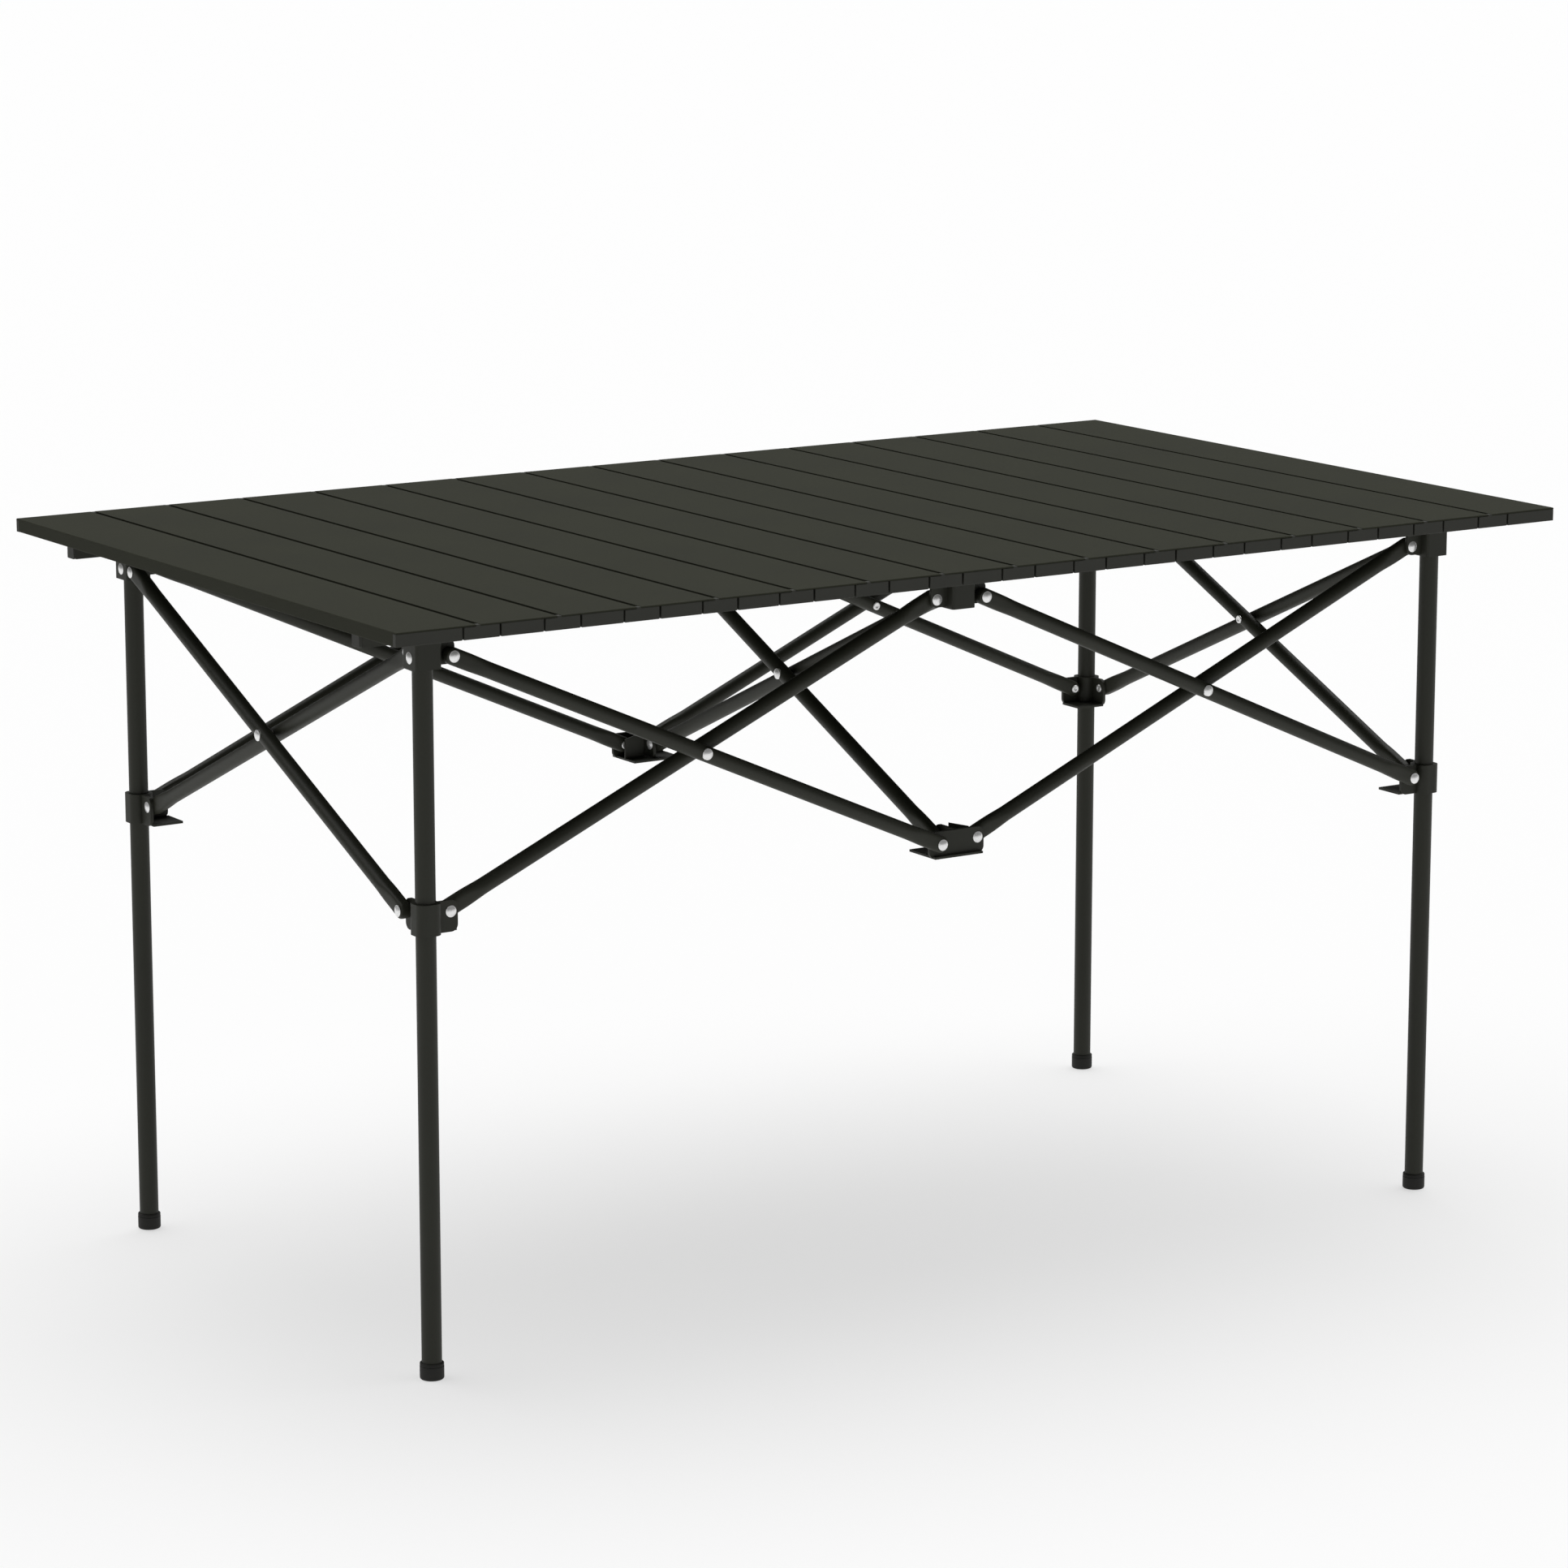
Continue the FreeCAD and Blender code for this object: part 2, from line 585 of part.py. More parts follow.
def slat_edges(number):
    """A slat's left and right edges: those of its skin, then those of its body."""
    left = slat_start(number)
    right = left + PITCH
    first = number == 1
    last = number == SLAT_COUNT
    skin_left = left if first else left + GROOVE / 2
    skin_right = right if last else right - GROOVE / 2
    body_left = left if first else left - TONGUE
    body_right = right if last else right - TONGUE - BODY_GAP
    return skin_left, skin_right, body_left, body_right


def slat_outline(number, depth):
    """A slat's solid outline between y = -depth and depth, under its skin and without it."""
    skin_left, _, body_left, body_right = slat_edges(number)
    under_skin = TABLE_HEIGHT - PLATE
    pieces = [box(skin_left, -depth, RAIL_TOP, body_right, depth, under_skin)]
    if number > 1:
        tongue_top = under_skin - SKIN_GAP
        pieces.append(box(body_left, -depth, RAIL_TOP, skin_left, depth, tongue_top))
    return fused(pieces)


def groove_channel(number, depth, wall):
    """The channel in a tongue's top under the groove, grown by a wall."""
    left = slat_start(number)
    floor = TABLE_HEIGHT - PLATE - SKIN_GAP - GROOVE_DEPTH
    half = GROOVE / 2 + wall
    return box(left - half, -depth, floor - wall, left + half, depth, TABLE_HEIGHT)


def slat_cavities(number, depth):
    """The slat's hollows, between its webs and under its groove, open at both ends."""
    _, _, body_left, body_right = slat_edges(number)
    ceiling = TABLE_HEIGHT - PLATE - SKIN_GAP - SLAT_WALL
    width = (body_right - body_left - SLAT_WALL) / SLAT_WEBS
    cavities = []
    for index in range(SLAT_WEBS):
        start = body_left + SLAT_WALL + index * width
        cavity = box(start, -depth, RAIL_TOP + SLAT_WALL, start + width - SLAT_WALL, depth, ceiling)
        if number > 1:
            cavity = cavity.cut(groove_channel(number, depth, SLAT_WALL))
        cavities.append(cavity)
    return cavities


def softened(shape, test):
    """Round the edges whose middle passes the test."""
    chosen = [edge for edge in shape.Edges if test(edge.CenterOfMass)]
    return shape.makeFillet(EDGE_RADIUS, chosen)


def slat_extrusion(number):
    """The aluminium slat: its skin, its hollow body and the tongue under its neighbour's skin."""
    skin_left, skin_right, _, _ = slat_edges(number)
    length = TABLE_WIDTH / 2
    under_skin = TABLE_HEIGHT - PLATE
    body = slat_outline(number, length - CAP_DEPTH)
    skin = box(skin_left, -length, under_skin, skin_right, length, TABLE_HEIGHT)
    shape = fused([body, skin])
    for cavity in slat_cavities(number, length - CAP_DEPTH):
        shape = shape.cut(cavity)
    if number > 1:
        shape = shape.cut(groove_channel(number, length - CAP_DEPTH, 0))

    def outer_top_edge(middle):
        return abs(abs(middle.y) - length) < TOLERANCE and abs(middle.z - TABLE_HEIGHT) < TOLERANCE

    def end_of_table(middle):
        return abs(abs(middle.x) - TABLE_LENGTH / 2) < TOLERANCE and abs(middle.y) < TOLERANCE

    return softened(shape, lambda middle: outer_top_edge(middle) or end_of_table(middle))


def slat_caps(number):
    """The plastic caps that close a slat's two ends, two to each end but one on the first slat."""
    _, _, body_left, body_right = slat_edges(number)
    left = slat_start(number)
    if number == 1:
        spans = [(body_left, body_right)]
    else:
        split = left + CAP_SPLIT
        spans = [(body_left, split - CAP_SEAM / 2), (split + CAP_SEAM / 2, body_right)]
    outline = slat_outline(number, TABLE_WIDTH / 2)
    if number > 1:
        lug_top = TABLE_HEIGHT - CAP_LUG_DROP
        lug_left = left - GROOVE / 2 + SKIN_GAP
        side = TABLE_WIDTH / 2
        lug = box(lug_left, -side, RAIL_TOP, left + GROOVE / 2, side, lug_top)
        outline = fused([outline, lug])
    caps = []
    for sign in (-1, 1):
        for x0, x1 in spans:
            outer = sign * TABLE_WIDTH / 2
            zone = box(x0, outer, RAIL_TOP, x1, outer - sign * CAP_DEPTH, TABLE_HEIGHT)
            caps.append(outline.common(zone))
    return caps


def make_slat(number):
    """One slat with its end caps."""
    extrusion = slat_extrusion(number)
    if number == SLAT_COUNT:
        for row in CENTRES:
            extrusion = extrusion.cut(top_rivet_hole(row))
    write("slat_%02d" % number, [extrusion] + slat_caps(number))


def main():
    """Write every node of the table."""
    os.makedirs("parts", exist_ok=True)
    for name in CORNERS:
        make_leg(name)
        make_foot(name)
        make_corner_bracket(name)
        make_slider(name)
    for row in CENTRES:
        make_centre_top(row)
        make_centre_bottom(row)
        for hand in ("left", "right"):
            make_rail(row, hand)
            make_rail_plug(row, hand)
    for spec in long_bars() + cross_bars():
        make_bar(*spec)
    for number in range(1, SLAT_COUNT + 1):
        make_slat(number)


main()
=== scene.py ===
"""Looks of the folding picnic table: a dark olive roll-up top on a frame of crossed tubes.

Metres, in the frame of the CAD model: +X along the table, +Y to its back side, +Z up, floor at z = 0.
Every visible piece is built here from the CAD model's own places and sizes, and rides on its CAD body.
"""

import bmesh
import bpy
import json
import math
from mathutils import Matrix, Vector


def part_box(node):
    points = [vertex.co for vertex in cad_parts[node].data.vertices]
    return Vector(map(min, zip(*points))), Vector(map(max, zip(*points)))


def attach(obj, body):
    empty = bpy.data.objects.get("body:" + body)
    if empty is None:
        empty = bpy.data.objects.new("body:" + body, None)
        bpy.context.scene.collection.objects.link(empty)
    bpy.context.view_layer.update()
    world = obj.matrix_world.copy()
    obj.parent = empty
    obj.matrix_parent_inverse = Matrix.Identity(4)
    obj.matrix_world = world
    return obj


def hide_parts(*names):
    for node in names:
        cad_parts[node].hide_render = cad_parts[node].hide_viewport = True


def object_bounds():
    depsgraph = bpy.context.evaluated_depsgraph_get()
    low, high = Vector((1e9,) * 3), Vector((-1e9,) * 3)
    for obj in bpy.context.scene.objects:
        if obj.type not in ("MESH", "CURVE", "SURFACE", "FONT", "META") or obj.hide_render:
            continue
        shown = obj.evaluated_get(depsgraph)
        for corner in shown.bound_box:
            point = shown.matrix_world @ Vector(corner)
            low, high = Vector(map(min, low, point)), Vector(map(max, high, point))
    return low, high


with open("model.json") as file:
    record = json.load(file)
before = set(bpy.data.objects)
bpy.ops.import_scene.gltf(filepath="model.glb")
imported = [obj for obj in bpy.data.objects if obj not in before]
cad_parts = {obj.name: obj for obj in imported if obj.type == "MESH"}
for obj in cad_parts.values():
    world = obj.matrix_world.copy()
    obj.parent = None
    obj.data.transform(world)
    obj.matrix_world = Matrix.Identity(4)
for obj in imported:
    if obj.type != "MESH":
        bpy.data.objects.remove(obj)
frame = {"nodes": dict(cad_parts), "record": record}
CAD_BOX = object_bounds()

MM = 0.001
X = Vector((1, 0, 0))
Y = Vector((0, 1, 0))
Z = Vector((0, 0, 1))

# ---- sizes that the looks need, beyond those read from the CAD nodes ----
TUBE_SEGMENTS = 64
RIVET_SEGMENTS = 40
BEVEL_SEGMENTS = 3
TUBE_RADIUS = 8.0 * MM       # scissor bars
END_HALF_THICKNESS = 6.2 * MM
END_HALF_WIDTH = 8.6 * MM
END_REACH = END_HALF_WIDTH - 1 * MM
END_STEPS = 10               # rings in a bar's rounded end
END_FIRST = 0.35             # place of the outermost ring, in steps from the tip
END_EDGE = 0.16              # how much thinner that ring is
PRESS_START = 16.0 * MM      # the pressed end is flat up to here from its pivot
PRESS_STOP = 46.0 * MM       # and the tube is round again from here
PRESS_STEPS = 8
ROUND = 2.0                  # power of a round section
SQUARER = 1.6                # what a pressed end adds to it
LEG_RADIUS = 10.0 * MM
LEG_WALL = 1.5 * MM
LEG_EDGE = 0.3 * MM
FOOT_HOLLOW = 0.4 * MM       # under the sole
FOOT_BEND = 2.2 * MM
FOOT_BEND_STEPS = 6
FOOT_LIP = 3.2 * MM
FOOT_FLOOR = 3.0 * MM
FOOT_CLEARANCE = 0.05 * MM
FOOT_BORE_EDGE = 0.3 * MM
# The groove under a foot's lip, as depth and height from it, and its rim, as inset and drop, in mm.
FOOT_GROOVE = ((0, -0.6), (0.5, -0.3), (0.5, 0.2), (0.1, 0.5))
FOOT_RIM = ((0.1, 0.9), (0.5, 0.2), (0.9, 0))
HEAD_RADIUS = 5.75 * MM
HEAD_HEIGHT = 2.0 * MM
HEAD_STEPS = 9
HEAD_DRAW_IN = 0.985         # keeps the dome clear of its rim
RIM_INSET = 0.25 * MM
RIM_RISE = 0.2 * MM
RIM_HEIGHT = 0.15 * MM
TAIL_RADIUS = 4.5 * MM
TAIL_HEIGHT = 1.5 * MM
TAIL_SIDE = 0.45             # share of a tail's height where its side starts
TAIL_EDGE = (0.15 * MM, 0.1 * MM)
# A rolled tail from its dimple outwards: share of its radius, and height in mm.
TAIL_ROLL = ((0, 0.5), (0.30, 0.45), (0.45, 0.12), (0.62, 0), (0.86, 0.12))
SHANK_RADIUS = 3.0 * MM
TAIL_LEAST = 1.2             # a wider end than this many shanks is a tail
HEAD_LEAST = 1.5             # and than this many a head
HEAD_OVER_TAIL = 1.02
END_SLACK = 0.1 * MM
CROSSING_SPAN = 30.0 * MM    # rivets longer than this go through two round bars
DECK_TOP = CAD_BOX[1][2]
FINE_BEVEL = 0.35 * MM
GROOVE_BEVEL = 0.8 * MM      # upper edges of a slat, along its grooves
CAP_BEVEL = 0.45 * MM
LIP_REACH = 1.4 * MM         # lip of a slat's end cap into the seam beside it
LIP_SETBACK = 2.2 * MM       # and its distance behind the cap's face
LIP_ROOT = 0.2 * MM
RAIL_BEVEL = 2.0 * MM
BRACKET_BEVEL = 0.7 * MM
SHARP = math.radians(32)     # edges that turn more than this are rounded
SMOOTH = math.radians(30)    # edges that turn less than this are shaded smooth
FLAT = math.radians(0.6)     # faces that turn less than this are merged
ALONG = 0.99                 # cosine from which a direction runs along an axis
WELD = 0.002 * MM            # points closer than this are one
TOUCH = 0.05 * MM            # places closer than this are the same


# ---- materials ----

def shader(name):
    """A new material with its Principled shader."""
    material = bpy.data.materials.new(name)
    material.use_nodes = True
    return material, material.node_tree, material.node_tree.nodes["Principled BSDF"]


def set_inputs(shader_node, **values):
    """Set sockets by name, with _ for spaces."""
    for key, value in values.items():
        shader_node.inputs[key.replace("_", " ")].default_value = value


def texture(tree, kind, scale, coordinates, **values):
    """A texture node on the given coordinates."""
    node = tree.nodes.new(kind)
    node.inputs["Scale"].default_value = scale
    for key, value in values.items():
        node.inputs[key].default_value = value
    tree.links.new(coordinates, node.inputs["Vector"])
    return node


def ramp(tree, source, low, high, positions=(0.3, 0.7)):
    """A colour ramp between two colours."""
    node = tree.nodes.new("ShaderNodeValToRGB")
    node.color_ramp.elements[0].position = positions[0]
    node.color_ramp.elements[1].position = positions[1]
    node.color_ramp.elements[0].color = (*low, 1)
    node.color_ramp.elements[1].color = (*high, 1)
    tree.links.new(source, node.inputs["Fac"])
    return node


def spread(tree, source, low, high):
    """Map 0..1 to low..high."""
    node = tree.nodes.new("ShaderNodeMapRange")
    node.inputs["To Min"].default_value = low
    node.inputs["To Max"].default_value = high
    tree.links.new(source, node.inputs["Value"])
    return node.outputs["Result"]


def bump(tree, source, strength, distance, previous=None):
    """A bump node, stacked on a previous one."""
    node = tree.nodes.new("ShaderNodeBump")
    node.inputs["Strength"].default_value = strength
    node.inputs["Distance"].default_value = distance
    tree.links.new(source, node.inputs["Height"])
    if previous is not None:
        tree.links.new(previous.outputs["Normal"], node.inputs["Normal"])
    return node


def object_space(tree):
    """Object coordinates, in metres."""
    return tree.nodes.new("ShaderNodeTexCoord").outputs["Object"]


def powder_coat(name, colour, roughness, grain, fleck, specular):
    """Baked powder coat: fine orange peel, a fleck in its colour, soft changes in gloss."""
    material, tree, principled = shader(name)
    place = object_space(tree)
    peel = texture(tree, "ShaderNodeTexNoise", 900, place, Detail=3.0, Roughness=0.6)
    sand = texture(tree, "ShaderNodeTexNoise", 2600, place, Detail=2.0, Roughness=0.7)
    cloud = texture(tree, "ShaderNodeTexNoise", 9, place, Detail=4.0, Roughness=0.55)
    darker = tuple(c * (1 - fleck) for c in colour)
    lighter = tuple(c * (1 + fleck) for c in colour)
    flecks = ramp(tree, sand.outputs["Fac"], darker, lighter, (0.36, 0.64))
    tint = ramp(tree, cloud.outputs["Fac"], (0.94, 0.94, 0.94), (1.06, 1.06, 1.05), (0.35, 0.65))
    mix = tree.nodes.new("ShaderNodeMix")
    mix.data_type = "RGBA"
    mix.blend_type = "MULTIPLY"
    mix.inputs["Factor"].default_value = 1.0
    tree.links.new(flecks.outputs["Color"], mix.inputs["A"])
    tree.links.new(tint.outputs["Color"], mix.inputs["B"])
    tree.links.new(mix.outputs["Result"], principled.inputs["Base Color"])
    gloss = spread(tree, cloud.outputs["Fac"], roughness - 0.06, roughness + 0.06)
    tree.links.new(gloss, principled.inputs["Roughness"])
    first = bump(tree, peel.outputs["Fac"], grain, 0.08 * MM)
    second = bump(tree, sand.outputs["Fac"], grain, 0.04 * MM, first)
    tree.links.new(second.outputs["Normal"], principled.inputs["Normal"])
    set_inputs(principled, Specular_IOR_Level=specular)
    return material


def moulded_plastic(name, colour, roughness):
    """Moulded plastic with a fine spark-eroded grain."""
    material, tree, principled = shader(name)
    place = object_space(tree)
    grain = texture(tree, "ShaderNodeTexVoronoi", 1500, place)
    cloud = texture(tree, "ShaderNodeTexNoise", 30, place, Detail=3.0)
    tint = ramp(tree, cloud.outputs["Fac"], tuple(c * 0.93 for c in colour), tuple(c * 1.07 for c in colour))
    tree.links.new(tint.outputs["Color"], principled.inputs["Base Color"])
    tree.links.new(spread(tree, cloud.outputs["Fac"], roughness - 0.05, roughness + 0.05),
                   principled.inputs["Roughness"])
    relief = bump(tree, grain.outputs["Distance"], 0.25, 0.05 * MM)
    tree.links.new(relief.outputs["Normal"], principled.inputs["Normal"])
    set_inputs(principled, Specular_IOR_Level=0.3)
    return material


def bright_metal(name):
    """Bare rivet metal, bright, with faint marks from setting."""
    material, tree, principled = shader(name)
    place = object_space(tree)
    marks = texture(tree, "ShaderNodeTexNoise", 700, place, Detail=4.0, Roughness=0.7)
    tint = ramp(tree, marks.outputs["Fac"], (0.90, 0.90, 0.90), (0.98, 0.98, 0.97))
    tree.links.new(tint.outputs["Color"], principled.inputs["Base Color"])
    tree.links.new(spread(tree, marks.outputs["Fac"], 0.28, 0.42), principled.inputs["Roughness"])
    relief = bump(tree, marks.outputs["Fac"], 0.12, 0.05 * MM)
    tree.links.new(relief.outputs["Normal"], principled.inputs["Normal"])
    set_inputs(principled, Metallic=0.6)
    return material


PAINT = (0.0270, 0.0282, 0.0190)

MATERIALS = {
    "slat": powder_coat("slat_powder_coat", PAINT, 0.70, 0.30, 0.16, 0.08),
    "tube": powder_coat("tube_powder_coat", (0.0255, 0.0265, 0.0190), 0.50, 0.18, 0.10, 0.25),
    "bracket": powder_coat("bracket_powder_coat", (0.0250, 0.0260, 0.0190), 0.52, 0.24, 0.10, 0.25),
    "cap": moulded_plastic("cap_moulding", (0.0290, 0.0298, 0.0235), 0.58),
    "foot": moulded_plastic("foot_moulding", (0.0150, 0.0150, 0.0125), 0.62),
    "rivet": bright_metal("rivet_metal"),
}


# ---- mesh helpers ----

def finish_mesh(mesh):
    """Recalculate normals and shade smooth across blunt edges."""
    work = bmesh.new()
    work.from_mesh(mesh)
    bmesh.ops.recalc_face_normals(work, faces=work.faces)
    for face in work.faces:
        face.smooth = True
    for edge in work.edges:
        edge.smooth = len(edge.link_faces) == 2 and edge.calc_face_angle(0) < SMOOTH
    work.to_mesh(mesh)
    work.free()


def add_piece(name, mesh, kind, body):
    """Make an object of a mesh, with its material, riding on a body."""
    piece = bpy.data.objects.new(name, mesh)
    bpy.context.scene.collection.objects.link(piece)
    mesh.materials.clear()
    mesh.materials.append(MATERIALS[kind])
    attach(piece, body)
    return piece


def mesh_from(name, work):
    """A mesh from a bmesh, freed afterwards."""
    mesh = bpy.data.meshes.new(name)
    work.to_mesh(mesh)
    work.free()
    finish_mesh(mesh)
    return mesh


def solid_faces(source):
    """Groups of face numbers, one for each solid: faces are listed solid by solid until they close."""
    same = bmesh.ops.find_doubles(source, verts=source.verts, dist=WELD)["targetmap"]
    groups = [[]]
    unpaired = set()
    for face in source.faces:
        groups[-1].append(face.index)
        places = [same.get(vertex, vertex).index for vertex in face.verts]
        for first, second in zip(places, places[1:] + places[:1]):
            if first != second:
                unpaired ^= {(min(first, second), max(first, second))}
        if not unpaired:
            groups.append([])
    return [set(group) for group in groups if group]


def loose_parts(node):
    """A CAD node's separate solids, each as its own closed bmesh."""
    source = bmesh.new()
    source.from_mesh(frame["nodes"][node].data)
    parts = []
    for group in solid_faces(source):
        part = source.copy()
        others = [face for face in part.faces if face.index not in group]
        bmesh.ops.delete(part, geom=others, context="FACES")
        bmesh.ops.remove_doubles(part, verts=part.verts, dist=WELD)
        parts.append(part)
    source.free()
    return parts


def merge_flat(work):
    """Merge the triangles of flat faces."""
    bmesh.ops.dissolve_limit(work, angle_limit=FLAT, verts=work.verts, edges=work.edges)


def corners(work):
    """The lowest and highest corners of a bmesh."""
    low = Vector(tuple(min(v.co[i] for v in work.verts) for i in range(3)))
    high = Vector(tuple(max(v.co[i] for v in work.verts) for i in range(3)))
    return low, high


def volume_box(work):
    """The volume of a bmesh's box, for telling bodies from rivets and end caps."""
    low, high = corners(work)
    size = high - low
    return size.x * size.y * size.z


def lathe(work, profile, origin, axis, segments):
    """Spin a profile of (radius, height) pairs about an axis; a zero radius closes an end."""
    side = Y if abs(axis.x) > 0.5 else X
    across = axis.cross(side)
    rings = []
    for radius, height in profile:
        if radius == 0:
            rings.append([work.verts.new(origin + axis * height)])
            continue
        ring = []
        for step in range(segments):
            angle = 2 * math.pi * step / segments
            spoke = side * math.cos(angle) + across * math.sin(angle)
            ring.append(work.verts.new(origin + axis * height + spoke * radius))
        rings.append(ring)
    join_rings(work, rings, segments)


def join_rings(work, rings, segments):
    """Faces between neighbouring rings of vertices."""
    for lower, upper in zip(rings, rings[1:]):
        for step in range(segments):
            after = (step + 1) % segments
            if len(lower) == 1:
                work.faces.new((lower[0], upper[after], upper[step]))
            elif len(upper) == 1:
                work.faces.new((lower[step], lower[after], upper[0]))
            else:
                work.faces.new((lower[step], lower[after], upper[after], upper[step]))


# ---- rivets ----

def rivet_axis(low, high):
    """A rivet's axis is the one of its box's three sizes that differs from the other two."""
    size = high - low
    gaps = {
        0: abs(size.y - size.z),
        1: abs(size.x - size.z),
        2: abs(size.x - size.y),
    }
    index = min(gaps, key=gaps.get)
    return (X, Y, Z)[index], index


def end_radius(work, centre, index, height):
    """The largest radius of a rivet near one end."""
    best = 0.0
    for vertex in work.verts:
        if abs(vertex.co[index] - height) > HEAD_HEIGHT + END_SLACK:
            continue
        offset = vertex.co - centre
        offset[index] = 0
        best = max(best, offset.length)
    return best


def dome_profile(top, radius, height, drum):
    """A domed head's outline from its underside, a drum's height down, to its crown."""
    base = top - height
    ball = (radius ** 2 + height ** 2) / (2 * height)
    spread_angle = math.asin(radius / ball)
    outline = [(radius - RIM_INSET, base - drum), (radius, base - drum + RIM_RISE)]
    outline.append((radius, base + RIM_HEIGHT))
    for step in range(1, HEAD_STEPS):
        angle = spread_angle * (1 - step / HEAD_STEPS)
        outline.append((ball * math.sin(angle) * HEAD_DRAW_IN, top - ball + ball * math.cos(angle)))
    outline.append((0, top))
    return outline


def tail_profile(bottom, radius, height):
    """A rolled rivet tail with a dimple, listed from its dimple to its upper rim."""
    outline = [(radius * share, bottom + rise * MM) for share, rise in TAIL_ROLL]
    inset, drop = TAIL_EDGE
    outline.append((radius, bottom + height * TAIL_SIDE))
    outline.append((radius, bottom + height - drop))
    outline.append((radius - inset, bottom + height))
    return outline


def build_rivet(name, part, body):
    """Rebuild one CAD rivet with a smooth head and a rolled tail at the same place."""
    low, high = corners(part)
    axis, index = rivet_axis(low, high)
    centre = (low + high) * 0.5
    ends = {1: end_radius(part, centre, index, high[index]), -1: end_radius(part, centre, index, low[index])}
    span = high[index] - low[index]
    direction = 1 if ends[1] >= ends[-1] else -1
    big = ends[direction]
    small = ends[-direction]
    outward = axis * direction
    shank = min(SHANK_RADIUS, small)
    head = HEAD_HEIGHT * big / HEAD_RADIUS
    top = span / 2
    profile = []
    if small > shank * TAIL_LEAST:
        tail = TAIL_HEIGHT * small / TAIL_RADIUS
        profile += tail_profile(-top, small, tail)
        profile.append((shank, -top + tail))
    else:
        profile += [(0, -top), (shank, -top)]
    work = bmesh.new()
    is_dome = big > HEAD_LEAST * shank and big > small * HEAD_OVER_TAIL
    if is_dome:
        drum = 0.0
        if span > CROSSING_SPAN:
            drum = TUBE_RADIUS - math.sqrt(TUBE_RADIUS ** 2 - big ** 2)
        profile.append((shank, top - head - drum))
        profile += dome_profile(top, big, head, drum)
    else:
        profile += [(shank, top), (0, top)]
    lathe(work, profile, centre, outward, RIVET_SEGMENTS)
    return add_piece(name, mesh_from(name, work), "rivet", body)


# ---- pieces ----

def weigh_edges(mesh, width, chosen_width, chosen):
    """Give sharp edges their bevel: chosen_width where chosen(middle, direction) holds, else width."""
    work = bmesh.new()
    work.from_mesh(mesh)
    layer = work.edges.layers.float.new("bevel_weight_edge")
    for edge in work.edges:
        if len(edge.link_faces) != 2 or edge.calc_face_angle(0) < SHARP:
            continue
        first, second = (vertex.co for vertex in edge.verts)
        direction = (second - first).normalized()
        wide = chosen((first + second) * 0.5, direction)
        edge[layer] = 1.0 if wide else width / chosen_width
    work.to_mesh(mesh)
    work.free()


def bevel(piece, width, chosen_width=None, chosen=None):
    """Round a piece's sharp edges, the chosen ones with a width of their own."""
    modifier = piece.modifiers.new("edges", "BEVEL")
    modifier.segments = BEVEL_SEGMENTS
    if chosen is None:
        modifier.width = width
        modifier.limit_method = "ANGLE"
        modifier.angle_limit = SHARP
        return
    weigh_edges(piece.data, width, chosen_width, chosen)
    modifier.width = chosen_width
    modifier.limit_method = "WEIGHT"


def carry_over(node, body, kind, width, chosen_width=None, chosen=None):
    """Replace a node by its own solids: the largest as the body, the rest as rivets."""
    for number, part in enumerate(sorted(loose_parts(node), key=volume_box, reverse=True)):
        if number == 0:
            merge_flat(part)
            piece = add_piece(node + "_body", mesh_from(node + "_body", part), kind, body)
            bevel(piece, width, chosen_width, chosen)
        else:
            piece = build_rivet("%s_rivet_%d" % (node, number), part, body)
            part.free()
        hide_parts(node)


def build_leg(node, body):
    """A leg tube with its wall and softly turned ends."""
    low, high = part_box(node)
    centre = Vector(((low.x + high.x) / 2, (low.y + high.y) / 2, 0))
    inner = LEG_RADIUS - LEG_WALL
    soft = LEG_EDGE
    profile = [(inner, low.z + soft), (inner + soft, low.z)]
    profile += [(LEG_RADIUS - soft, low.z), (LEG_RADIUS, low.z + soft)]
    profile += [(LEG_RADIUS, high.z - soft), (LEG_RADIUS - soft, high.z)]
    profile += [(inner + soft, high.z), (inner, high.z - soft)]
    work = bmesh.new()
    lathe(work, profile + profile[:1], centre, Z, TUBE_SEGMENTS)
    bmesh.ops.remove_doubles(work, verts=work.verts, dist=WELD)
    piece = add_piece(node + "_tube", mesh_from(node, work), "tube", body)
    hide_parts(node)


def build_foot(node, body):
    """A cup-shaped foot with a rounded sole and a ribbed lip."""
    low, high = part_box(node)
    centre = Vector(((low.x + high.x) / 2, (low.y + high.y) / 2, 0))
    radius = (high.x - low.x) / 2
    bore = LEG_RADIUS + FOOT_CLEARANCE
    profile = [(0, FOOT_HOLLOW), (radius * 0.5, FOOT_HOLLOW), (radius * 0.55, 0)]
    for step in range(FOOT_BEND_STEPS + 1):
        angle = math.pi / 2 * step / FOOT_BEND_STEPS
        around = radius - FOOT_BEND + FOOT_BEND * math.sin(angle)
        profile.append((around, FOOT_BEND - FOOT_BEND * math.cos(angle)))
    lip = high.z - FOOT_LIP
    profile += [(radius - depth * MM, lip + rise * MM) for depth, rise in FOOT_GROOVE]
    profile += [(radius - inset * MM, high.z - drop * MM) for inset, drop in FOOT_RIM]
    profile += [(bore + FOOT_BORE_EDGE, high.z), (bore, high.z - FOOT_BORE_EDGE)]
    profile += [(bore, FOOT_FLOOR), (0, FOOT_FLOOR)]
    work = bmesh.new()
    lathe(work, profile, centre, Z, TUBE_SEGMENTS)
    piece = add_piece(node + "_cup", mesh_from(node, work), "foot", body)
    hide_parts(node)


